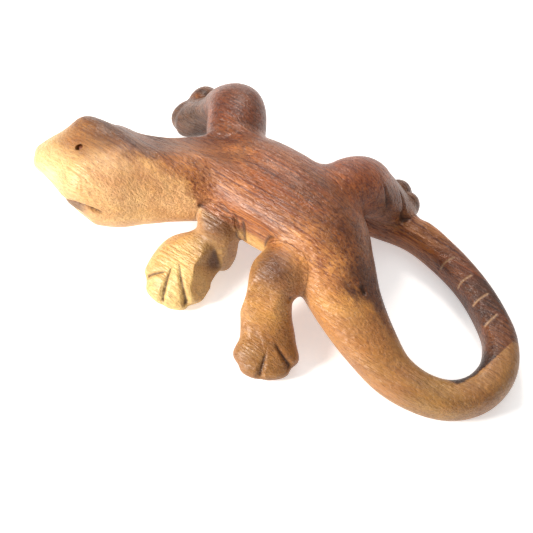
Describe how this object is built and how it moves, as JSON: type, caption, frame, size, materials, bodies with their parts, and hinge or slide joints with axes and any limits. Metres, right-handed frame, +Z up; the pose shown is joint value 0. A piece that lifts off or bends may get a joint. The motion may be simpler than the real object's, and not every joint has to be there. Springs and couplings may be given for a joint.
{
  "type": "carved wooden lizard figure",
  "caption": "Crawling lizard carved in two-tone wood, unpainted and oiled, with its head turned aside and its tail curled round in a loop to meet a hind foot.",
  "frame": {"origin": "centre of the figure's bounding box, on the plane it stands on", "axes": "+Z up, +X along the back toward the tail loop, -Y toward the lizard's left side"},
  "size_m": [0.1892, 0.1047, 0.0454],
  "materials": {
    "two_tone_wood": "oiled and rubbed to a satin gloss; red-brown heartwood over pale straw sapwood",
    "dowel_wood": "bare turned dowel",
    "eye_peg_wood": "dark wood peg, oiled"
  },
  "bodies": {
    "root": {"body": "two_tone_wood", "foreleg_left": "two_tone_wood", "foreleg_right": "two_tone_wood", "hindleg_left": "two_tone_wood", "hindleg_right": "two_tone_wood", "dowel_foreleg_left_1": "dowel_wood", "dowel_foreleg_left_2": "dowel_wood", "dowel_foreleg_right_1": "dowel_wood", "dowel_foreleg_right_2": "dowel_wood", "dowel_hindleg_left_1": "dowel_wood", "dowel_hindleg_left_2": "dowel_wood", "dowel_hindleg_right_1": "dowel_wood", "dowel_hindleg_right_2": "dowel_wood", "dowel_tail": "dowel_wood", "eye_peg_left": "eye_peg_wood", "eye_peg_right": "eye_peg_wood"}
  },
  "joints": []
}
